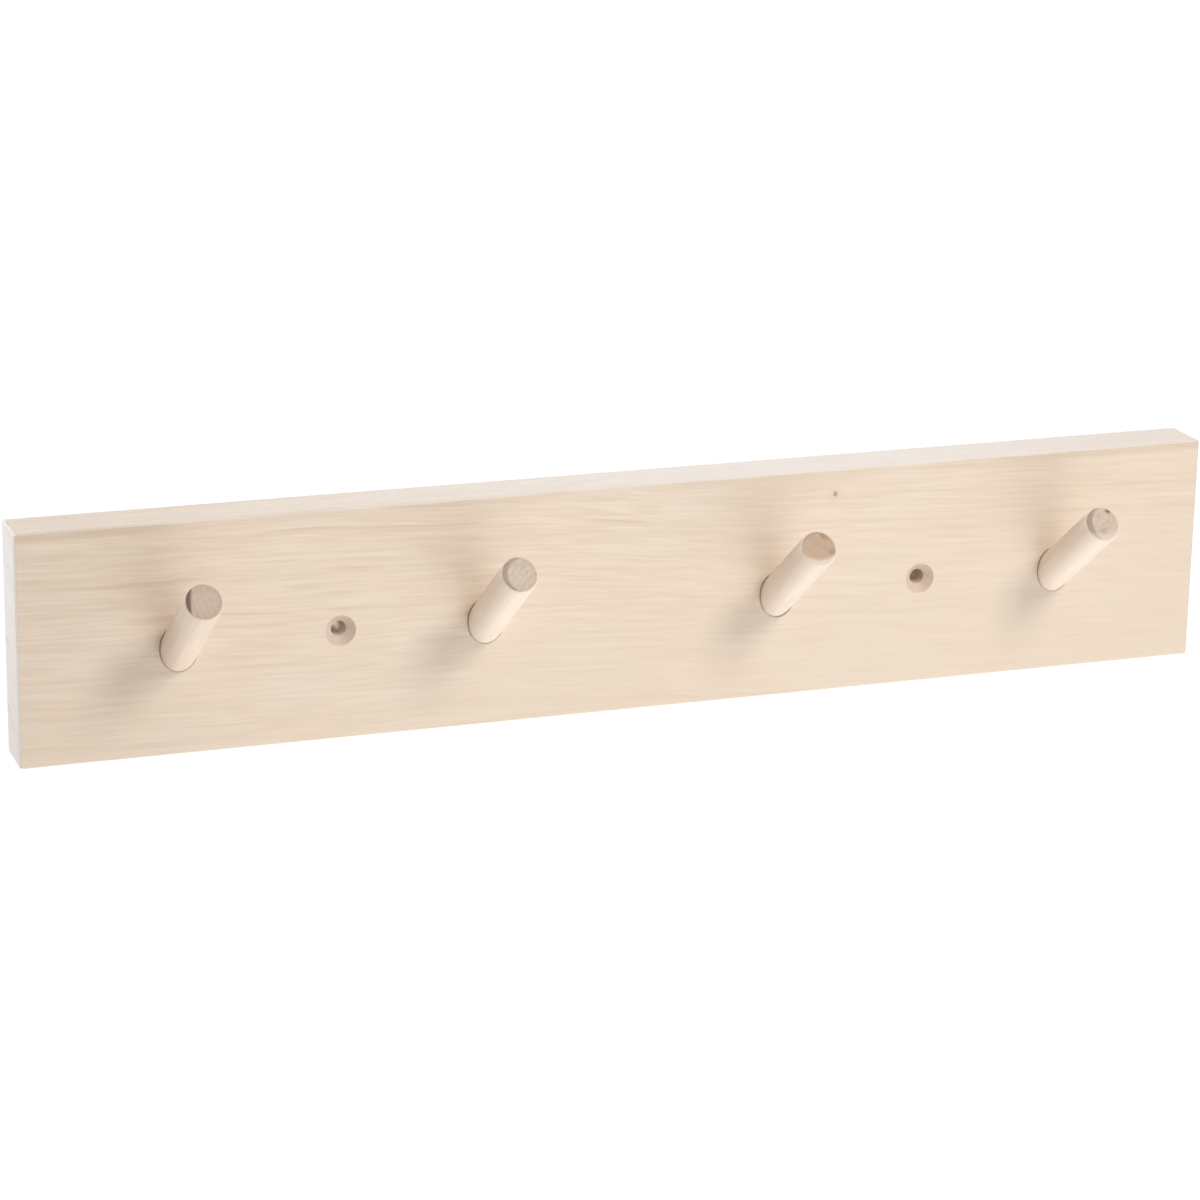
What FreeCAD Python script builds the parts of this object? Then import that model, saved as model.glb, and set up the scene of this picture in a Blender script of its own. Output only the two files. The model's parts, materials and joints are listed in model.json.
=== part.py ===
import FreeCAD, Part
import os

import Sketcher

# Wall coat rack: a planed board with dowel pegs glued into sockets that lean upward,
# and two countersunk screw holes between the pegs.
#
# The origin is the middle of the board's back face, which lies against the wall.
# +X runs along the board, +Y goes into the wall and +Z is up, so the front face and
# the pegs are on the -Y side. Lengths are in millimetres, angles in degrees.

SIZES = [
    # alias, value, what it measures
    ("board_length", 400.0, "left end to right end"),
    ("board_height", 75.0, "bottom edge to top edge"),
    ("board_thickness", 18.0, "wall face to front face"),
    ("arris_radius", 0.8, "sanded rounding of the board's outer edges"),
    ("peg_count", 4, "pegs, evenly spaced between the two end margins"),
    ("peg_diameter", 12.0, "round dowel stock"),
    ("peg_reach", 41.0, "peg axis from the front face to the free end"),
    ("peg_tilt", 37.0, "peg axis above the horizontal"),
    ("peg_end_radius", 0.9, "sanded rounding of a peg's free end"),
    ("peg_margin_left", 50.5, "left end of the board to the first peg axis"),
    ("peg_margin_right", 51.5, "right end of the board to the last peg axis"),
    ("peg_height", 34.5, "bottom edge to the peg axis, on the front face"),
    ("socket_clearance", 0.15, "radial room for glue around a peg"),
    ("socket_floor", 2.5, "wood left between a socket and the wall face"),
    ("socket_overcut", 2.0, "how far the socket's cutting profile runs clear of the front face"),
    ("screw_bore_diameter", 5.0, "clearance hole for a 4.5 mm wood screw"),
    ("countersink_diameter", 10.0, "mouth of the screw hole on the front face"),
    ("countersink_angle", 90.0, "full angle of the screw head's cone"),
    ("screw_margin_left", 102.0, "left end of the board to the left screw hole"),
    ("screw_margin_right", 100.5, "right end of the board to the right screw hole"),
    ("screw_height", 35.5, "bottom edge to the screw holes"),
]

# Expressions that the board and the pegs share, so that each peg follows its socket.
PEG_RADIUS = "(Sizes.peg_diameter / 2)"
PEG_LEFT_X = "(Sizes.peg_margin_left - Sizes.board_length / 2)"
PEG_RIGHT_X = "(Sizes.board_length / 2 - Sizes.peg_margin_right)"
PEG_ROW_LENGTH = f"({PEG_RIGHT_X} - {PEG_LEFT_X})"
PEG_Z = "(Sizes.peg_height - Sizes.board_height / 2)"
FRONT_Y = "(-Sizes.board_thickness)"
SOCKET_RADIUS = f"({PEG_RADIUS} + Sizes.socket_clearance)"
# The deepest point of a tilted flat-bottomed socket is the lower rim of its floor.
SOCKET_DEPTH = (
    f"((Sizes.board_thickness - Sizes.socket_floor - {SOCKET_RADIUS} * sin(Sizes.peg_tilt))"
    " / cos(Sizes.peg_tilt))"
)
# A tilted profile has to start this far out before all of it is clear of the front face.
SOCKET_LEAD = f"({SOCKET_RADIUS} * tan(Sizes.peg_tilt) + Sizes.socket_overcut)"

BOARD_NODE = "backboard"
PEG_NODE = "peg"


def make_sizes(document):
    """Put the driving sizes into a sheet, one aliased cell each."""
    sheet = document.addObject("Spreadsheet::Sheet", "Sizes")
    for row, (alias, value, meaning) in enumerate(SIZES, start=1):
        sheet.set(f"A{row}", alias)
        sheet.set(f"B{row}", str(value))
        sheet.set(f"C{row}", meaning)
        sheet.setAlias(f"B{row}", alias)
    document.recompute()
    return sheet


def origin_feature(body, role):
    """One of the body's own origin planes or axes."""
    return next(feature for feature in body.Origin.OriginFeatures if feature.Role == role)


def new_sketch(body, name, plane):
    """An empty sketch on one of the body's origin planes."""
    sketch = body.newObject("Sketcher::SketchObject", name)
    sketch.AttachmentSupport = [(origin_feature(body, plane), "")]
    sketch.MapMode = "FlatFace"
    return sketch


def bind(feature, expressions):
    """Tie properties of a feature to the sheet."""
    for path, expression in expressions.items():
        feature.setExpression(path, expression)


def constrain(sketch, name, expression, *constraint):
    """Add a dimension to a sketch, name it and tie it to the sheet."""
    index = sketch.addConstraint(Sketcher.Constraint(*constraint))
    sketch.renameConstraint(index, name)
    sketch.setExpression(f"Constraints.{name}", expression)


def draw_rectangle(sketch, left, bottom, right, top):
    """Four joined edges in the order bottom, right, top, left, kept square to the sketch axes."""
    corners = [(left, bottom), (right, bottom), (right, top), (left, top)]
    points = [FreeCAD.Vector(x, y, 0) for x, y in corners]
    for start, end in zip(points, points[1:] + points[:1]):
        sketch.addGeometry(Part.LineSegment(start, end))
    for edge in range(4):
        sketch.addConstraint(Sketcher.Constraint("Coincident", edge, 2, (edge + 1) % 4, 1))
    for edge, direction in enumerate(["Horizontal", "Vertical", "Horizontal", "Vertical"]):
        sketch.addConstraint(Sketcher.Constraint(direction, edge))


def add_plank(body, sheet):
    """The sawn and planed board, with every outer edge eased by sanding."""
    outline = new_sketch(body, "BoardOutline", "XZ_Plane")
    half_length = sheet.board_length / 2
    half_height = sheet.board_height / 2
    draw_rectangle(outline, -half_length, -half_height, half_length, half_height)
    outline.addConstraint(Sketcher.Constraint("Symmetric", 0, 1, 2, 1, -1, 1))
    constrain(outline, "length", "Sizes.board_length", "DistanceX", 0, 1, 0, 2, sheet.board_length)
    constrain(outline, "height", "Sizes.board_height", "DistanceY", 1, 1, 1, 2, sheet.board_height)

    plank = body.newObject("PartDesign::Pad", "Plank")
    plank.Profile = outline
    bind(plank, {"Length": "Sizes.board_thickness"})
    body.Document.recompute()

    eased = body.newObject("PartDesign::Fillet", "EasedArrises")
    eased.Base = (plank, [f"Edge{number}" for number in range(1, len(plank.Shape.Edges) + 1)])
    bind(eased, {"Radius": "Sizes.arris_radius"})
    body.Document.recompute()
    return eased


def add_sockets(body, sheet):
    """Blind, flat-bottomed sockets that lean upward, repeated along the board."""
    profile = new_sketch(body, "SocketProfile", "YZ_Plane")
    # The profile's own X axis is the peg axis, and its origin is where that axis leaves the board.
    profile.AttachmentOffset = FreeCAD.Placement(
        FreeCAD.Vector(0, 0, 0),
        FreeCAD.Rotation(FreeCAD.Vector(0, 0, 1), 180 - sheet.peg_tilt),
    )
    bind(profile, {
        "AttachmentOffset.Base.x": FRONT_Y,
        "AttachmentOffset.Base.y": PEG_Z,
        "AttachmentOffset.Base.z": PEG_LEFT_X,
        "AttachmentOffset.Rotation.Angle": "180 - Sizes.peg_tilt",
    })
    draw_rectangle(profile, -sheet.peg_diameter, 0, sheet.peg_diameter, sheet.peg_diameter / 2)
    profile.addConstraint(Sketcher.Constraint("PointOnObject", 0, 1, -1))
    constrain(profile, "depth", SOCKET_DEPTH, "DistanceX", 0, 1, -1, 1, sheet.peg_diameter)
    constrain(profile, "lead", SOCKET_LEAD, "DistanceX", -1, 1, 0, 2, sheet.peg_diameter)
    constrain(profile, "radius", SOCKET_RADIUS, "DistanceY", 1, 1, 1, 2, sheet.peg_diameter / 2)

    socket = body.newObject("PartDesign::Groove", "Socket")
    socket.Profile = profile
    socket.ReferenceAxis = (profile, ["H_Axis"])
    socket.Angle = 360
    body.Document.recompute()

    row = body.newObject("PartDesign::LinearPattern", "SocketRow")
    row.Originals = [socket]
    row.Direction = (origin_feature(body, "X_Axis"), [""])
    bind(row, {"Length": PEG_ROW_LENGTH, "Occurrences": "Sizes.peg_count"})
    body.Tip = row
    body.Document.recompute()
    return row


def add_screw_holes(body, sheet):
    """Two countersunk holes right through the board, drilled from the front."""
    centres = new_sketch(body, "ScrewCentres", "XZ_Plane")
    bind(centres, {"AttachmentOffset.Base.z": "Sizes.board_thickness"})
    left_x = sheet.screw_margin_left - sheet.board_length / 2
    right_x = sheet.board_length / 2 - sheet.screw_margin_right
    screw_z = sheet.screw_height - sheet.board_height / 2
    bore_radius = sheet.screw_bore_diameter / 2
    sides = [
        ("left", left_x, "Sizes.screw_margin_left - Sizes.board_length / 2"),
        ("right", right_x, "Sizes.board_length / 2 - Sizes.screw_margin_right"),
    ]
    for circle, (side, screw_x, expression) in enumerate(sides):
        centre = FreeCAD.Vector(screw_x, screw_z, 0)
        centres.addGeometry(Part.Circle(centre, FreeCAD.Vector(0, 0, 1), bore_radius))
        constrain(centres, f"{side}_x", expression, "DistanceX", -1, 1, circle, 3, screw_x)
        constrain(
            centres, f"{side}_z", "Sizes.screw_height - Sizes.board_height / 2",
            "DistanceY", -1, 1, circle, 3, screw_z,
        )
        constrain(
            centres, f"{side}_bore", "Sizes.screw_bore_diameter / 2", "Radius", circle, bore_radius,
        )
    body.Document.recompute()

    holes = body.newObject("PartDesign::Hole", "ScrewHoles")
    holes.Profile = centres
    body.Document.recompute()
    holes.ThreadType = "None"
    holes.DepthType = "ThroughAll"
    holes.HoleCutType = "Countersink"
    holes.HoleCutCustomValues = True
    bind(holes, {
        "Diameter": "Sizes.screw_bore_diameter",
        "HoleCutDiameter": "Sizes.countersink_diameter",
        "HoleCutCountersinkAngle": "Sizes.countersink_angle",
    })
    body.Document.recompute()
    return holes


def make_backboard(document, sheet):
    """The board with its sockets and screw holes."""
    body = document.addObject("PartDesign::Body", "Backboard")
    body.Label = BOARD_NODE
    plank = add_plank(body, sheet)
    sockets = add_sockets(body, sheet)
    holes = add_screw_holes(body, sheet)
    # A cut that points away from the wood removes nothing and raises no error.
    for before, after in [(plank, sockets), (sockets, holes)]:
        if after.Shape.Volume >= before.Shape.Volume:
            raise RuntimeError(f"{after.Label} removed no wood")
    return body


def make_peg(document, sheet, index):
    """One dowel peg, standing on the flat floor of its socket."""
    node = f"{PEG_NODE}_{index + 1}"
    body = document.addObject("PartDesign::Body", f"Peg{index + 1}")
    body.Label = node
    body.Placement.Rotation = FreeCAD.Rotation(FreeCAD.Vector(1, 0, 0), 90 - sheet.peg_tilt)
    bind(body, {
        "Placement.Base.x": f"{PEG_LEFT_X} + {PEG_ROW_LENGTH} * {index} / (Sizes.peg_count - 1)",
        "Placement.Base.y": FRONT_Y,
        "Placement.Base.z": PEG_Z,
        "Placement.Rotation.Angle": "90 - Sizes.peg_tilt",
    })

    section = new_sketch(body, f"DowelSection{index + 1}", "XY_Plane")
    bind(section, {"AttachmentOffset.Base.z": f"-{SOCKET_DEPTH}"})
    peg_radius = sheet.peg_diameter / 2
    section.addGeometry(Part.Circle(FreeCAD.Vector(0, 0, 0), FreeCAD.Vector(0, 0, 1), peg_radius))
    section.addConstraint(Sketcher.Constraint("Coincident", 0, 3, -1, 1))
    constrain(section, "radius", PEG_RADIUS, "Radius", 0, peg_radius)

    dowel = body.newObject("PartDesign::Pad", f"Dowel{index + 1}")
    dowel.Profile = section
    bind(dowel, {"Length": f"{SOCKET_DEPTH} + Sizes.peg_reach"})
    document.recompute()

    # The front face of the board is at height 0 of the dowel, so its free rim is above that.
    free_rim = [
        f"Edge{number}"
        for number, edge in enumerate(dowel.Shape.Edges, start=1)
        if edge.isClosed() and edge.CenterOfMass.z > 0
    ]
    rounded = body.newObject("PartDesign::Fillet", f"RoundedEnd{index + 1}")
    rounded.Base = (dowel, free_rim)
    bind(rounded, {"Radius": "Sizes.peg_end_radius"})
    document.recompute()
    return body


def check(document, bodies):
    """Stop before writing anything if a feature failed or a piece isn't one sound solid."""
    for item in document.Objects:
        if "Invalid" in item.State or "Error" in item.State:
            raise RuntimeError(f"{item.Label} failed: {item.State}")
    for body in bodies:
        shape = body.Shape
        if shape.isNull() or not shape.isValid() or len(shape.Solids) != 1:
            raise RuntimeError(f"{body.Label} is not one valid solid")


def main():
    document = FreeCAD.newDocument("CoatRack")
    sheet = make_sizes(document)
    bodies = [make_backboard(document, sheet)]
    for index in range(int(sheet.peg_count)):
        bodies.append(make_peg(document, sheet, index))
    document.recompute()
    check(document, bodies)

    os.makedirs("parts", exist_ok=True)
    for body in bodies:
        body.Shape.exportStep(os.path.join("parts", f"{body.Label}.step"))
        box = body.Shape.optimalBoundingBox()
        print(
            f"{body.Label}: {body.Shape.Volume / 1000:.2f} cm3,"
            f" x {box.XMin:.1f} to {box.XMax:.1f},"
            f" y {box.YMin:.1f} to {box.YMax:.1f},"
            f" z {box.ZMin:.1f} to {box.ZMax:.1f}"
        )


main()
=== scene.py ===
# %% [markdown]
# # A wall coat rack: one plain board and four leaning dowel pegs
#
# The rack is a planed softwood board with four dowels glued into angled sockets and two
# countersunk holes for wall screws. The solids come in finished, in metres, with the origin at
# the centre of the board's back face: +X runs along the board, +Y goes into the wall and +Z is
# up. The shapes need nothing more, so this lesson is about wood: how to make bare timber from
# nodes alone, so that it runs through the piece like real timber and is right on every side.

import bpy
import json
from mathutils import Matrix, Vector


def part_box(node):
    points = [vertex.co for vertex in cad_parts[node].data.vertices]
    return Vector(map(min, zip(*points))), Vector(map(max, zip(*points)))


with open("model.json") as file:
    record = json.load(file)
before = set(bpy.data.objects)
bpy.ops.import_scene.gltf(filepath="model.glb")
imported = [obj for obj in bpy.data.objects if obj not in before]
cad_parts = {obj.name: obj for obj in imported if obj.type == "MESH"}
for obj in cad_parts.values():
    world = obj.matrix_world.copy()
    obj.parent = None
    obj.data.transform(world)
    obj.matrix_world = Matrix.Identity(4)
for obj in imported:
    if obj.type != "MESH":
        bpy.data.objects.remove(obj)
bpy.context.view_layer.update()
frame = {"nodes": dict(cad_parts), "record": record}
print("solids:", sorted(frame["nodes"]))

# %% [markdown]
# ## The camera
#
# The photograph looks at the rack from the left and a little above, through a long lens, so the
# far end shrinks only slightly. Instead of aiming by eye, the camera gets a place, two turning
# angles and a small roll. A quaternion that looks along the view direction does the aiming, and
# the roll is one more turn about the camera's own axis.

# %% Place the camera
import math

import bpy
from mathutils import Quaternion, Vector

CAMERA_PLACE = Vector((-0.41304, -1.12429, 0.36381))
CAMERA_TURN = math.radians(19.921)
CAMERA_DIP = math.radians(17.163)
CAMERA_ROLL = math.radians(0.972)
SENSOR_WIDTH_MM = 36.0
FOCAL_LENGTH_MM = 115.796

view_direction = Vector((
    math.sin(CAMERA_TURN) * math.cos(CAMERA_DIP),
    math.cos(CAMERA_TURN) * math.cos(CAMERA_DIP),
    -math.sin(CAMERA_DIP),
))
camera = bpy.data.objects.new("camera", bpy.data.cameras.new("camera"))
camera.data.sensor_width = SENSOR_WIDTH_MM
camera.data.lens = FOCAL_LENGTH_MM
camera.location = CAMERA_PLACE
camera.rotation_mode = "QUATERNION"
level_view = view_direction.to_track_quat("-Z", "Y")
camera.rotation_quaternion = level_view @ Quaternion((0, 0, 1), CAMERA_ROLL)
bpy.context.collection.objects.link(camera)
bpy.context.scene.camera = camera
print("camera looks along", [round(part, 3) for part in view_direction])

# %% [markdown]
# ## Wires that take part in sums
#
# A material is a tree of nodes, and most of the nodes in wood are plain arithmetic. Adding them
# one by one hides the idea, so a small class wraps the output of a node. Adding, subtracting,
# multiplying or dividing two wires adds the Math node for it, and a number on either side works
# as well. Every other node comes from the method `node`, with its settings first and then its
# sockets.

# %% A wrapped node output
class Wire:
    """The output of a node, which Python's operators can combine with others."""

    def __init__(self, socket):
        self.socket = socket

    def node(self, kind, settings, inputs, output=0):
        """Add a node to the same tree: settings first, then a value or a wire for each socket."""
        tree = self.socket.id_data
        made = tree.nodes.new(kind)
        for name, value in settings.items():
            setattr(made, name, value)
        for name, value in inputs.items():
            if isinstance(value, Wire):
                tree.links.new(value.socket, made.inputs[name])
            else:
                made.inputs[name].default_value = value
        return Wire(made.outputs[output])

    def math(self, operation, *values):
        return self.node("ShaderNodeMath", {"operation": operation}, dict(enumerate(values)))

    def __add__(self, other):
        return self.math("ADD", self, other)

    __radd__ = __add__

    def __sub__(self, other):
        return self.math("SUBTRACT", self, other)

    def __rsub__(self, other):
        return self.math("SUBTRACT", other, self)

    def __mul__(self, other):
        return self.math("MULTIPLY", self, other)

    __rmul__ = __mul__

    def __truediv__(self, other):
        return self.math("DIVIDE", self, other)

    def __rtruediv__(self, other):
        return self.math("DIVIDE", other, self)

    def __abs__(self):
        return self.math("ABSOLUTE", self)


# %% [markdown]
# Vectors and colours have nodes of their own: Vector Math for places and directions, Mix for
# blending two colours. A few more helpers give the words that wood is described in: soft noise
# that can be stretched along the grain, a soft step, and a spot round a point.

# %% Helpers for vectors and colours
def vector(operation, first, *others, output=0):
    values = dict(enumerate((first,) + others))
    return first.node("ShaderNodeVectorMath", {"operation": operation}, values, output)


def length(place):
    return vector("LENGTH", place, output=1)


def along(place, direction):
    """How far a place or a normal reaches along a direction."""
    return vector("DOT_PRODUCT", place, direction, output=1)


def blend(amount, first, second, way="MIX"):
    """The first colour where amount is 0 and the second, or their product, where it is 1."""
    settings = {"data_type": "RGBA", "blend_type": way}
    return amount.node("ShaderNodeMix", settings, {0: amount, 6: first, 7: second}, output=2)


def wood_colour(red, green, blue):
    """A colour as seen on a screen, from 0 to 255, as the linear colour that a shader takes."""
    shares = [value / 255 for value in (red, green, blue)]
    linear = [s / 12.92 if s <= 0.04045 else ((s + 0.055) / 1.055) ** 2.4 for s in shares]
    return (*linear, 1.0)


print("a pale board as linear colour:", [round(part, 3) for part in wood_colour(234, 216, 196)])

# %% Helpers for masks
def larger(first, second):
    return first.math("MAXIMUM", first, second)


def soft_step(value, start, end):
    """Rise smoothly from 0 at start to 1 at end."""
    limits = {"Value": value, "From Min": start, "From Max": end}
    return value.node("ShaderNodeMapRange", {"interpolation_type": "SMOOTHSTEP"}, limits)


def noise(place, lumps_per_mm, detail=1.0):
    """Soft noise from about -0.5 to 0.5, with its own fineness on each axis."""
    spot = vector("MULTIPLY", place, lumps_per_mm)
    inputs = {"Vector": spot, "Scale": 1.0, "Detail": detail}
    return place.node("ShaderNodeTexNoise", {}, inputs) - 0.5


def distance_from(place, centre, counted=(1, 1, 1)):
    """Distance to a point, or to a line or plane where an axis isn't counted."""
    return length(vector("MULTIPLY", vector("SUBTRACT", place, centre), counted))


def spot_at(place, centre, core, rim, counted=(1, 1, 1)):
    """1 inside the core radius round a centre, fading to 0 at the rim radius."""
    return 1 - soft_step(distance_from(place, centre, counted), core, rim)


# %% [markdown]
# ## How timber is laid out
#
# A tree adds a ring each year: pale, loose early wood and then a thin, darker line of late wood.
# A board is a slice of those rings, so one solid pattern gives straight lines on the face, broad
# bands on the top edge and arcs on the ends, all meeting at the edges. An image wrapped round
# the piece can't do that. The pattern is worked out in millimetres in the timber's own axes,
# with Z along the grain, and a Mapping node turns the rack's axes into those. The tree never
# grew quite straight, so the whole pattern is pushed sideways by slow noise first.

# %% Places in the timber
METRES_TO_MM = 1000.0
# Lumps of drift per millimetre: twice across the grain, then along it.
SLOW_SWAY_LUMPS = (0.006, 0.006, 0.0055)
QUICK_SWAY_LUMPS = (0.04, 0.04, 0.03)
QUICK_SWAY_SHARE = 0.13


def rack_place(material):
    """A point of the piece in the rack's frame, in millimetres."""
    coordinates = material.node_tree.nodes.new("ShaderNodeTexCoord")
    metres = Wire(coordinates.outputs["Object"])
    return vector("MULTIPLY", metres, (METRES_TO_MM,) * 3)


def surface_normal(material):
    geometry = material.node_tree.nodes.new("ShaderNodeNewGeometry")
    return Wire(geometry.outputs["Normal"])


def timber_place(place, centre, turn):
    """The same point in the timber's axes, with Z along the grain."""
    inputs = {"Vector": place, "Location": centre, "Rotation": turn}
    return place.node("ShaderNodeMapping", {"vector_type": "TEXTURE"}, inputs)


def wandering(timber, sway):
    """Let the grain drift sideways along its length by a part of the sway, in millimetres."""
    slow = noise(timber, SLOW_SWAY_LUMPS) * sway
    quick = noise(timber, QUICK_SWAY_LUMPS) * (QUICK_SWAY_SHARE * sway)
    drift = slow + quick
    shift = drift.node("ShaderNodeCombineXYZ", {}, {"X": drift, "Y": drift})
    return vector("ADD", timber, shift)


# %% [markdown]
# Two features make up the grain. The late wood closes each ring with a line, strong in some
# years and faint in others. Along the board it comes and goes, while a sawn end shows every ring
# whole. The fibres are streaks of three sizes, each many times longer than it is wide. On a bare
# board they are what the eye sees most.

# %% Growth rings
ROUND_THE_GRAIN = (1, 1, 0)
UNEVEN_LUMPS = (0.12, 0.12, 0.002)
FADING_LUMPS = (0.15, 0.15, 0.025)
# Where in a ring, as a share of its width, the late wood begins, is full and starts to close.
LATE_BEGINS = 0.2
LATE_FULL = 0.85
LATE_CLOSES = 0.88


def rings(grain, pith, ring_width, uneven_rings):
    """0 in early wood, up to 1 in the late wood that closes each ring."""
    radius = distance_from(grain, (*pith, 0), ROUND_THE_GRAIN)
    uneven = noise(grain, UNEVEN_LUMPS) * (uneven_rings * ring_width)
    count = (radius + uneven) / ring_width
    ring = count.math("FLOOR", count)
    share = count.math("FRACT", count)
    strength = count.node("ShaderNodeTexWhiteNoise", {"noise_dimensions": "1D"}, {"W": ring})
    line = soft_step(share, LATE_BEGINS, LATE_FULL) * (1 - soft_step(share, LATE_CLOSES, 1.0))
    return line * strength


def fading(grain):
    """How much of a ring's line shows, from 0 to 1, as it comes and goes along the grain."""
    return soft_step(noise(grain, FADING_LUMPS), -0.2, 0.2)


# %% Fibres
# Lumps per millimetre of the broad, the middling and the fine streaks, and the share of each.
STREAKS = [
    ((0.28, 0.28, 0.007), 0.2),
    ((1.05, 1.05, 0.04), 0.72),
    ((2.0, 2.0, 0.06), 0.1),
]


def fibres(grain):
    """Streaks from half a millimetre to about three and a half wide, from about -0.5 to 0.5."""
    broad, middling, fine = [share * noise(grain, lumps) for lumps, share in STREAKS]
    return broad + middling + fine


# %% [markdown]
# Each finish is a material with a Principled shader. These helpers start one, link a wire to one
# of its sockets, and give it to a solid. The index of refraction is the same all over, so it is
# set on the shader itself.

# %% Helpers for materials
WOOD_IOR = 1.5


def new_wood(name):
    """A material with a Principled shader for bare, sanded wood."""
    material = bpy.data.materials.new(name)
    material.use_nodes = True
    shader = material.node_tree.nodes["Principled BSDF"]
    shader.inputs["IOR"].default_value = WOOD_IOR
    return material, shader


def connect(shader, name, wire):
    wire.socket.id_data.links.new(wire.socket, shader.inputs[name])


def dress(node_name, material):
    """Give one of the solids its material."""
    mesh = frame["nodes"][node_name].data
    mesh.materials.clear()
    mesh.materials.append(material)
    print(node_name, "wears", material.name)


# %% [markdown]
# ## The board
#
# The board is quarter sawn: its heart lay well below it, so the rings cross the face as almost
# straight lines, about three millimetres apart. The log lay a little askew on the saw, so the
# grain runs out: it falls by nearly three degrees towards the right.

# %% Wood of the board
BOARD_PITH = (150.0, 35.0)
BOARD_RING_WIDTH = 2.9
BOARD_UNEVEN_RINGS = 1.8
BOARD_RUNOUT = math.radians(2.7)
BOARD_SWAY = 15.0

board_wood, board_shader = new_wood("board_wood")
board_place = rack_place(board_wood)
board_turn = (0, math.radians(90) + BOARD_RUNOUT, 0)
board_timber = timber_place(board_place, (0, 0, 0), board_turn)
board_grain = wandering(board_timber, BOARD_SWAY)
board_rings = rings(board_grain, BOARD_PITH, BOARD_RING_WIDTH, BOARD_UNEVEN_RINGS)
board_late = board_rings * fading(board_grain)
board_fibres = fibres(board_grain)
print("board rings are", BOARD_RING_WIDTH, "mm wide")

# %% [markdown]
# Bare softwood is pale and dry, so the contrast is low. It isn't even, though: the lines are
# clearest at the upper left and fade towards the lower right, where the saw met plainer wood. So
# one wire says how clear the grain is at each place, and the lines are multiplied by it. Short
# dark flecks, and a slow and very faint change of colour, keep the pale wood from looking flat.

# %% Tone of the board
BOARD_PALE = wood_colour(242, 226, 207)
BOARD_DARK = wood_colour(214, 190, 164)
BOARD_BLUSH = wood_colour(255, 253, 251)
BOARD_MIDDLE_TONE = 0.28
FIBRE_CONTRAST = 1.1
LATE_WOOD_CONTRAST = 0.26
FLECK_DEPTH = 0.3
FLECK_LUMPS = (1.0, 1.0, 0.11)
BLUSH_LUMPS = (0.035, 0.035, 0.018)
CLEAR_AT_LOWER_LEFT = 0.69
FAINTER_AT_RIGHT = 0.44
CLEARER_AT_TOP = 0.55

rightward = along(board_place, (1, 0, 0))
upward = along(board_place, (0, 0, 1))
at_right = soft_step(rightward, -220.0, 220.0)
at_top = soft_step(upward, -40.0, 40.0)
clear_grain = CLEAR_AT_LOWER_LEFT - FAINTER_AT_RIGHT * at_right + CLEARER_AT_TOP * at_top
grain_lines = FIBRE_CONTRAST * board_fibres + LATE_WOOD_CONTRAST * board_late
board_streaks = BOARD_MIDDLE_TONE + clear_grain * grain_lines
flecks = clear_grain * soft_step(noise(board_grain, FLECK_LUMPS), 0.22, 0.32)
board_tone = blend(board_streaks + FLECK_DEPTH * flecks, BOARD_PALE, BOARD_DARK)
blush = soft_step(noise(board_grain, BLUSH_LUMPS, detail=2.0), -0.2, 0.25)
board_tone = blend(blush, board_tone, BOARD_BLUSH, "MULTIPLY")
print("grain at the upper left is clear by", round(CLEAR_AT_LOWER_LEFT + CLEARER_AT_TOP, 2))
print("and at the lower right by", round(CLEAR_AT_LOWER_LEFT - FAINTER_AT_RIGHT, 2))

# %% [markdown]
# The planed top edge is painted paler than the front, most of all right of the middle, as painted
# light and sheen. The whole timber is painted a shade darker towards its ends, mostly the left one,
# as painted shade. Each face could have a material of its own, but then the tones would meet in a
# hard line. Here the normal tells which way a face looks, and soft steps of it blend the tones
# round the corners.

# %% Painted light on the top edge, painted shade at the ends
BOARD_TOP_LIT = wood_colour(250, 241, 233)
BOARD_TOP_LIT_LINES = wood_colour(241, 225, 211)
BOARD_END_SHADE = wood_colour(246, 245, 244)
TOP_LIGHT_AT_LEFT = 0.35
TOP_LIGHT_GAIN = 0.6
TOP_LIGHT_LOSS_AT_RIGHT = 0.35
END_SHADE_AT_RIGHT = 0.35

board_normal = surface_normal(board_wood)
faces_up = along(board_normal, (0, 0, 1))
faces_front = along(board_normal, (0, -1, 0))
faces_right = along(board_normal, (1, 0, 0))

# Painted light and sheen: the top edge takes a paler copy of the board's tone.
top_lit_tone = blend(board_streaks, BOARD_TOP_LIT, BOARD_TOP_LIT_LINES)
far_right = soft_step(rightward, 100.0, 200.0)
past_left = soft_step(rightward, -160.0, 40.0) - TOP_LIGHT_LOSS_AT_RIGHT * far_right
painted_paler = soft_step(faces_up, 0.3, 0.85) * (TOP_LIGHT_AT_LEFT + TOP_LIGHT_GAIN * past_left)
board_tone = blend(painted_paler, board_tone, top_lit_tone)

# Painted shade: the timber is darker towards both ends, most of all the left one.
left_part = 1 - soft_step(rightward, -205.0, -105.0)
right_part = soft_step(rightward, 90.0, 200.0)
board_tone = blend(left_part + END_SHADE_AT_RIGHT * right_part, board_tone, BOARD_END_SHADE, "MULTIPLY")
print("top edge is bleached, and the ends are duller")

# %% [markdown]
# The saw cut the ends across the fibres, so they show the rings whole, as arcs, with open pores.
# They have a pale colour of their own, made paler still as painted light, and they are darker
# towards the bottom as painted shade. The rings are already there, because the pattern is solid,
# so an end needs only its own colours, and fine noise for pores.

# %% Sawn ends of the board
BOARD_SAWN_AND_LIT = wood_colour(250, 243, 236)
BOARD_SAWN_LINES = wood_colour(212, 194, 176)
SHADE_AT_BOTTOM = 0.32
LESS_SHADE_AT_TOP = 0.26
SAWN_RING_DEPTH = 0.28
SAWN_PORE_DEPTH = 0.4
SAWN_PORE_LUMPS = (1.6, 1.6, 0.2)
SAWN_COVER = 0.95

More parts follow.
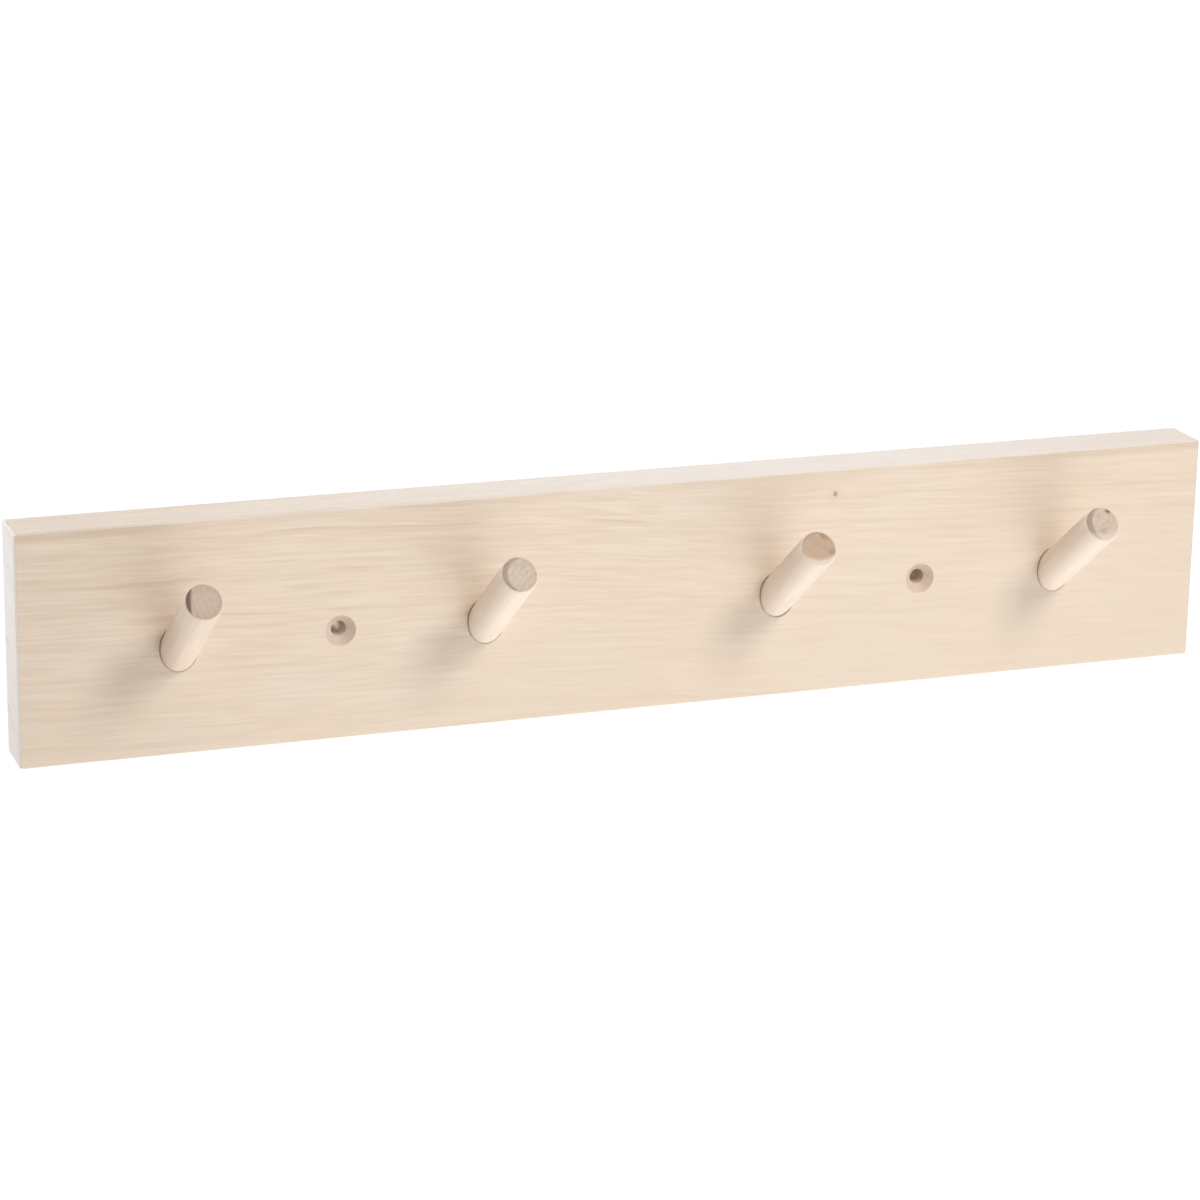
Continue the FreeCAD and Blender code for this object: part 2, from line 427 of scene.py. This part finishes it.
sawn_pores = noise(board_timber, SAWN_PORE_LUMPS, detail=2.0)
# Painted shade: the sawn ends are darker towards the bottom.
low_shade = SHADE_AT_BOTTOM - LESS_SHADE_AT_TOP * soft_step(upward, -40.0, 20.0)
sawn_lines = low_shade + SAWN_RING_DEPTH * board_rings + SAWN_PORE_DEPTH * sawn_pores
sawn_tone = blend(sawn_lines, BOARD_SAWN_AND_LIT, BOARD_SAWN_LINES)
faces_end = soft_step(abs(faces_right), 0.3, 0.8)
board_tone = blend(faces_end * SAWN_COVER, board_tone, sawn_tone)
print("sawn ends show the rings whole")

# %% [markdown]
# A faint, patchy darker line runs along the face just below the top edge, stronger near both ends.
# One soft step fades it in and another fades it out, and slow noise makes the patches. How far
# the board reaches is read from the solid, so that the line follows its edge.

# %% The dark line below the top edge
BOARD_DARK_LINE_AND_SHADE = wood_colour(186, 156, 126)
LINE_EVERYWHERE = 0.04
LINE_IN_PATCHES = 0.13
LINE_NEAR_ENDS = 0.18
CLEAN_MIDDLE = 8.0
PATCH_LUMPS = (0.03, 0.03, 0.03)
# Millimetres below the top edge between which the line fades in, and then out again.
LINE_FADES_IN = (3.4, 2.0)
LINE_FADES_OUT = (0.8, 0.1)

board_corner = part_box("backboard")[1]
half_length = round(METRES_TO_MM * board_corner.x, 3)
half_height = round(METRES_TO_MM * board_corner.z, 3)
line_starts = soft_step(upward, *[half_height - drop for drop in LINE_FADES_IN])
line_ends = soft_step(upward, *[half_height - drop for drop in LINE_FADES_OUT])
below_edge = line_starts * (1 - line_ends) * soft_step(faces_front, 0.5, 0.9)
patches = soft_step(noise(board_place, PATCH_LUMPS, detail=2.0), -0.15, 0.25)
near_ends = soft_step(abs(rightward - CLEAN_MIDDLE), 85.0, 190.0)
line_darkness = LINE_EVERYWHERE + LINE_IN_PATCHES * patches + LINE_NEAR_ENDS * near_ends
board_tone = blend(below_edge * line_darkness, board_tone, BOARD_DARK_LINE_AND_SHADE)
print("board reaches", half_length, "mm to each side and", half_height, "mm up and down")

# %% [markdown]
# The arrises are the rounded corners where two faces meet. Where the left end meets the face the
# arris is painted pale, as painted light, and round the rest of the ends it is painted darker, as
# painted shade; the long edges are a little paler. Worn edges are often found by the Pointiness of
# a mesh, but that is known only at its points, and a plain board has few. Here the arrises are
# found by their normals, which lie along no axis.

# %% Arrises
BOARD_RUBBED_AND_LIT = wood_colour(254, 247, 239)
END_PAINTED_LIGHT = 0.9
LONG_EDGE_RUB = 0.15
END_PAINTED_SHADE = 0.55
# Millimetres from an end or a long edge at which an arris begins and has its full tone.
ARRIS_BEGINS = 1.2
ARRIS_FULL = 0.7

facing = larger(larger(abs(faces_front), abs(faces_right)), abs(faces_up))
arris = 1 - soft_step(facing, 0.85, 0.99)
end_arris = arris * soft_step(abs(rightward), half_length - ARRIS_BEGINS, half_length - ARRIS_FULL)
long_arris = arris * soft_step(abs(upward), half_height - ARRIS_BEGINS, half_height - ARRIS_FULL)
front_left = soft_step(faces_front, 0.05, 0.4) * left_part
# Painted light: the arris where the left end meets the face is made paler.
rubbed_and_lit = larger(end_arris * front_left * END_PAINTED_LIGHT, long_arris * LONG_EDGE_RUB)
board_tone = blend(rubbed_and_lit, board_tone, BOARD_RUBBED_AND_LIT)
# Painted shade: the arrises round the ends, away from the front, are darkened.
board_tone = blend(end_arris * (1 - front_left) * END_PAINTED_SHADE, board_tone, BOARD_DARK_LINE_AND_SHADE)
# In this print, grimy means the painted shade on the end arrises.
print("arrises are rubbed or grimy")

# %% [markdown]
# A knot no bigger than a pin head sits near the top edge, right of the middle, with a faint
# pinkish stain round it. At that size only its colour shows, so it isn't modelled. It is two soft
# spots round one point: a wide, faint one, and on it a small, dark one, a little taller than wide.

# %% The pin knot
KNOT_PLACE = (68.3, -18.0, 29.2)
KNOT_COLOUR = wood_colour(128, 96, 76)
KNOT_STAIN = wood_colour(222, 190, 170)
KNOT_SHAPE = (1, 1, 0.75)
KNOT_DEPTH = 0.6
STAIN_DEPTH = 0.25

stain = spot_at(board_place, KNOT_PLACE, core=0.8, rim=4.0)
board_tone = blend(stain * STAIN_DEPTH, board_tone, KNOT_STAIN)
knot = spot_at(board_place, KNOT_PLACE, core=0.3, rim=1.0, counted=KNOT_SHAPE)
board_tone = blend(knot * KNOT_DEPTH, board_tone, KNOT_COLOUR)
print("pin knot at", KNOT_PLACE, "mm")

# %% [markdown]
# The screw holes are drilled, and the drill left the bores rough. Their countersinks and bores are
# painted darker and a little pinker than the face, as painted shade in these recesses. Where the
# holes are is read from the mounts in the record, so the finish follows the solid, and only the
# walls of a hole take it: they face neither front nor back.

# %% Drilled wood
COUNTERSINK_SHADE = wood_colour(208, 181, 161)
BORE_SHADE = wood_colour(228, 208, 188)
COUNTERSINK_RADIUS = 5.0
COUNTERSINK_COVER = 0.65
DRILLED_FADE = 0.3
ROUND_THE_HOLE = (1, 0, 1)

hole_walls = 1 - soft_step(abs(faces_front), 0.8, 0.95)


def drilled(hole, radius):
    """1 on the walls of a hole out to a radius."""
    inside = spot_at(board_place, hole, radius, radius + DRILLED_FADE, ROUND_THE_HOLE)
    return inside * hole_walls


for mount in frame["record"]["mounts"]:
    if mount["kind"] == "bore":
        hole = [METRES_TO_MM * part for part in mount["pos_m"]]
        countersink_shaded = drilled(hole, COUNTERSINK_RADIUS) * COUNTERSINK_COVER
        # Painted shade in the countersinks and bores.
        board_tone = blend(countersink_shaded, board_tone, COUNTERSINK_SHADE)
        board_tone = blend(drilled(hole, mount["dims"]["r_mm"]), board_tone, BORE_SHADE)
        print("drilled wood in", mount["name"])

# %% [markdown]
# Each dowel stands in a socket a hair wider than itself. A dark line is painted round the joint as
# painted shade, where the peg's contact shadow falls: at the left of every peg and once more below
# the third. The line has to follow the leaning peg, so it is found in axes of the peg's own: Z lies
# along the peg, and the distance from Z tells what is at the rim of a socket. The same axes serve
# for the grain of the pegs later on.

# %% Axes of a peg
PEG_LEAN = math.radians(37.0)
PEG_TURN = (math.radians(90.0) - PEG_LEAN, 0, 0)
PEG_RADIUS = 6.0


def peg_place(name, place):
    """A point in the axes of one peg, counted from the peg's middle."""
    low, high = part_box(name)
    middle = [METRES_TO_MM * (a + b) / 2 for a, b in zip(low, high)]
    return timber_place(place, middle, PEG_TURN)


def out_from_peg(bearing, distance):
    """A point beside the peg's middle, in the peg's axes."""
    angle = math.radians(bearing)
    return (distance * math.cos(angle), distance * math.sin(angle), 0)


# %% Painted shade round the pegs
JOINT_SHADE = wood_colour(132, 98, 68)
JOINT_SHADE_DEPTH = 0.7
# Distances from the peg's axis, in millimetres, at which the line starts to fade and is gone.
JOINT_CORE = PEG_RADIUS + 0.1
JOINT_RIM = PEG_RADIUS + 0.6
# Bearings of the shaded stretches, in degrees from the right towards up, and how far out of the
# peg's middle, in millimetres along that bearing, a stretch begins: further out makes it shorter.
SHADED_JOINTS = {
    "peg_1": [(163.0, 1.0)],
    "peg_2": [(168.0, 1.0)],
    "peg_3": [(165.0, 1.0), (-62.0, 4.4)],
    "peg_4": [(165.0, 1.0)],
}

clear_of_back = soft_step(along(board_place, (0, -1, 0)), 1.0, 3.0)
for peg_name, shaded_stretches in SHADED_JOINTS.items():
    around = peg_place(peg_name, board_place)
    at_rim = spot_at(around, (0, 0, 0), JOINT_CORE, JOINT_RIM, ROUND_THE_GRAIN)
    for bearing, start in shaded_stretches:
        wide = soft_step(along(around, out_from_peg(bearing, 1)), start, PEG_RADIUS)
        # Painted shade: a dark line on the shaded side of each joint.
        board_tone = blend(at_rim * clear_of_back * wide * JOINT_SHADE_DEPTH, board_tone, JOINT_SHADE)
    # The open joints in this print are the stretches of painted shade.
    print("open joints round", peg_name, "at bearings", [bearing for bearing, start in shaded_stretches])
connect(board_shader, "Base Color", board_tone)

# %% [markdown]
# Sanded wood is nearly matt. The late wood is harder and takes a little more polish, and the soft
# fibres between its lines stand up or sink by about a tenth of a millimetre. That is too little
# to model, so a Bump node tilts the light on it.

# %% Sheen and relief of the board
BOARD_ROUGHNESS = 0.55
LATE_WOOD_POLISH = 0.1
FIBRE_ROUGHNESS = 0.2
LATE_WOOD_SINK = 0.3
FLECK_SINK = 0.4
BUMP_STRENGTH = 0.35
BOARD_RELIEF = 0.00012


def relief(height, depth):
    """The normal of a surface whose height differs by up to a depth in metres."""
    inputs = {"Strength": BUMP_STRENGTH, "Distance": depth, "Height": height}
    return height.node("ShaderNodeBump", {}, inputs)


polish = BOARD_ROUGHNESS - LATE_WOOD_POLISH * board_late + FIBRE_ROUGHNESS * board_fibres
connect(board_shader, "Roughness", polish)
board_height = clear_grain * (board_fibres - LATE_WOOD_SINK * board_late) - FLECK_SINK * flecks
connect(board_shader, "Normal", relief(board_height, BOARD_RELIEF))
print("wood of the board has", len(board_wood.node_tree.nodes), "nodes")
dress("backboard", board_wood)

# %% [markdown]
# ## The pegs
#
# Each peg is a length of dowel, turned from a denser and slightly pinker wood, and cut square.
# The grain follows the dowel, so it is laid out in the peg's own axes. Every dowel came from
# another place in the tree: a heart in a place of its own gives it its own lines along the side
# and its own pattern on the sawn end. The sawn end soaks up dust and is much darker and greyer
# than the side.

# %% What differs from peg to peg
PEG_HEARTS = {
    "peg_1": (60.0, 8.0),
    "peg_2": (9.0, -11.0),
    "peg_3": (22.0, 26.0),
    "peg_4": (-2.0, 3.5),
}
# How far the side is from the pale towards the dark colour, before its grain is added.
PEG_SIDE_TONES = {"peg_1": 0.5, "peg_2": 0.03, "peg_3": 0.16, "peg_4": 0.08}
PEG_END_COLOURS = {
    "peg_1": wood_colour(216, 194, 173),
    "peg_2": wood_colour(227, 207, 187),
    "peg_3": wood_colour(207, 178, 150),
    "peg_4": wood_colour(222, 200, 180),
}
# How much darker the rim of the sawn end is, and how much of the side's colour its low edge has.
PEG_END_EDGES = {
    "peg_1": (0.12, 0.0),
    "peg_2": (0.1, 0.0),
    "peg_3": (0.0, 0.8),
    "peg_4": (0.0, 0.45),
}
print("pegs with wood of their own:", sorted(PEG_HEARTS))

# %% [markdown]
# Each end has a dark sliver at its left or its top, and a few dark spots. A sliver is what is left
# of a round end outside another circle, whose centre is moved the other way: a large circle leaves
# a straight-sided chord and a small one leaves a crescent.

# %% Dark slivers and spots
END_DARK_MARK = wood_colour(112, 86, 66)
SLIVER_FADE = 0.5
SPOT_CORE = 0.2
# Bearing on the end in degrees, then shift and radius of the circle in millimetres, and strength.
SLIVERS = {
    "peg_1": (172.0, 30.0, 34.0, 0.92),
    "peg_2": (169.0, 1.6, 5.6, 0.48),
    "peg_3": (110.0, 20.0, 24.6, 0.15),
    "peg_4": (178.0, 3.0, 6.6, 0.5),
}
# Bearing, distance from the middle and radius of each spot, and strength.
SPOTS = {
    "peg_1": [(-40.0, 4.6, 2.0, 0.1)],
    "peg_2": [(60.0, 3.2, 1.4, 0.15)],
    "peg_3": [(60.0, 5.0, 2.4, 0.3), (-20.0, 4.6, 2.2, 0.25)],
    "peg_4": [(57.0, 5.2, 1.5, 0.8), (-95.0, 2.2, 1.8, 0.2)],
}


def dark_marks(timber, name):
    """How dark the marks on the sawn end are, from 0 to 1."""
    bearing, shift, radius, strength = SLIVERS[name]
    reach = distance_from(timber, out_from_peg(bearing, -shift), ROUND_THE_GRAIN)
    amount = soft_step(reach, radius - SLIVER_FADE, radius + SLIVER_FADE) * strength
    for bearing, distance, radius, strength in SPOTS[name]:
        centre = out_from_peg(bearing, distance)
        spot = spot_at(timber, centre, SPOT_CORE * radius, radius, ROUND_THE_GRAIN)
        amount = larger(amount, spot * strength)
    return amount


# %% [markdown]
# A sawn end starts as dusty wood with its rings and pores. Dark marks and a darker rim go on top.
# On two pegs the low edge takes the colour of the side: that is the part outside a wide oval whose
# centre is moved up.

# %% Sawn end of one peg
PEG_END_LINES = wood_colour(158, 134, 114)
PEG_END_TONE = 0.09
PEG_END_RING_DEPTH = 0.18
PEG_END_PORE_DEPTH = 0.5
# Distances in millimetres: of the darker rim from the middle, and of the side's colour from the
# oval's.
RIM_DARKENS_FROM = 2.5
SIDE_COLOUR_BEGINS = 5.2
SIDE_COLOUR_FULL = 7.2
OVAL_CENTRE = (0, 2.4, 0)
OVAL_SHAPE = (0.8, 1, 0)


def sawn_end(name, timber, whole_rings, pores, side):
    """Colour of a peg's sawn end."""
    lines = PEG_END_TONE + PEG_END_RING_DEPTH * whole_rings + PEG_END_PORE_DEPTH * pores
    end = blend(lines, PEG_END_COLOURS[name], PEG_END_LINES)
    rim, low_edge = PEG_END_EDGES[name]
    from_middle = distance_from(timber, (0, 0, 0), ROUND_THE_GRAIN)
    darker_rim = soft_step(from_middle, RIM_DARKENS_FROM, PEG_RADIUS) * rim
    end = blend(larger(darker_rim, dark_marks(timber, name)), end, END_DARK_MARK)
    from_oval = distance_from(timber, OVAL_CENTRE, OVAL_SHAPE)
    side_coloured = soft_step(from_oval, SIDE_COLOUR_BEGINS, SIDE_COLOUR_FULL) * low_edge
    return blend(side_coloured, end, side)


# %% [markdown]
# The side has the same rings and fibres as the board, with the rings closer together. The end
# face is where the normal points along the peg, and it is rougher than the side, with open pores.
# Only the values above differ from peg to peg, so one function makes the wood of all four.

# %% Wood of one peg
PEG_PALE = wood_colour(251, 234, 217)
PEG_DARK = wood_colour(228, 203, 181)
PEG_RING_WIDTH = 1.7
PEG_UNEVEN_RINGS = 0.9
PEG_SWAY = 5.0
PEG_FIBRE_CONTRAST = 0.8
PEG_LATE_WOOD_CONTRAST = 0.3
PEG_PORE_LUMPS = (1.1, 1.1, 0.3)
PEG_ROUGHNESS = 0.5
PEG_END_ROUGHER = 0.25
PEG_LATE_WOOD_SINK = 0.4
PEG_RELIEF = 0.00015
PEG_AXIS = (0.0, -math.cos(PEG_LEAN), math.sin(PEG_LEAN))


def make_peg_wood(name):
    material, shader = new_wood("peg_wood_" + name)
    timber = peg_place(name, rack_place(material))
    grain = wandering(timber, PEG_SWAY)
    whole_rings = rings(grain, PEG_HEARTS[name], PEG_RING_WIDTH, PEG_UNEVEN_RINGS)
    late = whole_rings * fading(grain)
    streaks = fibres(grain)
    pores = noise(timber, PEG_PORE_LUMPS, detail=2.0)
    tone = PEG_SIDE_TONES[name] + PEG_FIBRE_CONTRAST * streaks + PEG_LATE_WOOD_CONTRAST * late
    side = blend(tone, PEG_PALE, PEG_DARK)
    end = sawn_end(name, timber, whole_rings, pores, side)
    end_face = soft_step(along(surface_normal(material), PEG_AXIS), 0.65, 0.97)
    connect(shader, "Base Color", blend(end_face, side, end))
    rough = PEG_ROUGHNESS + PEG_END_ROUGHER * end_face + FIBRE_ROUGHNESS * streaks
    connect(shader, "Roughness", rough)
    height = streaks - PEG_LATE_WOOD_SINK * late + pores * end_face
    connect(shader, "Normal", relief(height, PEG_RELIEF))
    return material


for peg_name in PEG_HEARTS:
    dress(peg_name, make_peg_wood(peg_name))

# %% [markdown]
# ## Light
#
# The shadows tell where the lamps stood. Each peg throws a short, soft, grey shadow to the lower
# left, so the main lamp is a soft box high on the right. A wider, warmer and fainter shadow
# rises from each peg, so a broad lamp stands low in front. The undersides of the pegs are the
# brightest parts of all, and a lamp that shines up along the board, as a white table top does,
# gives that without another shadow. Lamps behind and beside the rack stand for a white backdrop
# in daylight: they light the ends, the top edge and the back. They stand so low that the board
# shades the pegs from them, because the upper left of each peg is its darkest side.

# %% Lamps
WHITE_LIGHT = (1.0, 1.0, 1.0)


def soft_box(name, place, aim, size, watts, tint=WHITE_LIGHT):
    """A round lamp of a size in metres that points at a place and isn't seen itself."""
    lamp = bpy.data.lights.new(name, "AREA")
    lamp.shape = "DISK"
    lamp.color = tint
    lamp.size = size
    lamp.energy = watts
    holder = bpy.data.objects.new(name, lamp)
    holder.location = place
    holder.rotation_mode = "QUATERNION"
    holder.rotation_quaternion = (Vector(aim) - Vector(place)).to_track_quat("-Z", "Y")
    holder.visible_camera = False
    bpy.context.collection.objects.link(holder)
    print(name, "gives", watts, "W from", place)


soft_box("key_lamp", place=(0.53, -1.1, 1.18), aim=(0, 0, 0), size=0.5, watts=12.0)
soft_box("fill_lamp", place=(0.65, -1.07, -0.47), aim=(0.05, 0, 0), size=1.45, watts=4.7)
soft_box("table_bounce", place=(0.1, -0.2, -0.9), aim=(0, -0.03, 0), size=1.4, watts=5.0)

# %% Daylight from behind and beside
DAYLIGHT = (0.93, 0.96, 1.0)
GLOW_SIZE = 0.6
# Place and aim in metres, then watts.
GLOWS = {
    "backdrop_glow": ((-0.5, 0.8, 0.3), (-0.1, 0, 0), 5.3),
    "left_glow": ((-1.25, 0.5, 0.15), (-0.2, 0, 0), 4.5),
    "right_glow": ((1.2, 0.4, 0.3), (0.2, 0, 0), 2.2),
}

for glow_name, (glow_place, glow_aim, glow_watts) in GLOWS.items():
    soft_box(glow_name, glow_place, glow_aim, GLOW_SIZE, glow_watts, DAYLIGHT)

# %% [markdown]
# White surroundings do the rest. A world bright enough to look white would wash out the shadows,
# so the Light Path node tells the rays apart: the camera, and anything glossy or clear, sees
# plain white, while the wood gets less light than that.

# %% White surroundings
SURROUND_LIGHT = 0.44
WHITE = (1, 1, 1, 1)

bpy.context.scene.view_settings.view_transform = "Standard"
world = bpy.data.worlds.new("white_surroundings")
bpy.context.scene.world = world
world.use_nodes = True
light_path = world.node_tree.nodes.new("ShaderNodeLightPath")
seen_by_camera = Wire(light_path.outputs["Is Camera Ray"])
seen_in_gloss = Wire(light_path.outputs["Is Glossy Ray"])
seen_through = Wire(light_path.outputs["Is Transmission Ray"])
seen = larger(larger(seen_by_camera, seen_in_gloss), seen_through)
background = world.node_tree.nodes["Background"]
background.inputs["Color"].default_value = WHITE
connect(background, "Strength", SURROUND_LIGHT + (1 - SURROUND_LIGHT) * seen)
print("surroundings light the rack with", SURROUND_LIGHT)

# %% [markdown]
# ## The floor
#
# The rack hangs, so the floor is well below it and takes only a faint, wide shadow. It is a pale
# disc that glows for the camera just enough to reach white, on top of the light that falls on
# it, which keeps that shadow.

# %% Floor
import bmesh

FLOOR_DROP = 1.2
FLOOR_RADIUS = 16.0
FLOOR_SEGMENTS = 96

floor_form = bmesh.new()
bmesh.ops.create_circle(floor_form, cap_ends=True, radius=FLOOR_RADIUS, segments=FLOOR_SEGMENTS)
floor_mesh = bpy.data.meshes.new("floor")
floor_form.to_mesh(floor_mesh)
floor_form.free()
floor = bpy.data.objects.new("floor", floor_mesh)
floor.location = (0, 0, -FLOOR_DROP)
bpy.context.collection.objects.link(floor)
print("floor is", FLOOR_DROP, "m below the rack")

# %% Paint of the floor
FLOOR_COLOUR = (0.85, 0.85, 0.85, 1)
FLOOR_ROUGHNESS = 0.9
FLOOR_GLOW = 0.68

floor_paint = bpy.data.materials.new("floor_paint")
floor_paint.use_nodes = True
floor_shader = floor_paint.node_tree.nodes["Principled BSDF"]
floor_shader.inputs["Base Color"].default_value = FLOOR_COLOUR
floor_shader.inputs["Roughness"].default_value = FLOOR_ROUGHNESS
floor_shader.inputs["Emission Strength"].default_value = 1.0
floor_path = floor_paint.node_tree.nodes.new("ShaderNodeLightPath")
floor_seen = Wire(floor_path.outputs["Is Camera Ray"])
connect(floor_shader, "Emission Color", floor_seen * FLOOR_GLOW)
floor_mesh.materials.append(floor_paint)
print("floor glows by", FLOOR_GLOW, "for the camera")

# %% [markdown]
# ## Check the size and finish
#
# The finish added no shape, so the box of the dressed rack has to be the box of the solids.
# Both go into a small file.

# %% Write both boxes
import json
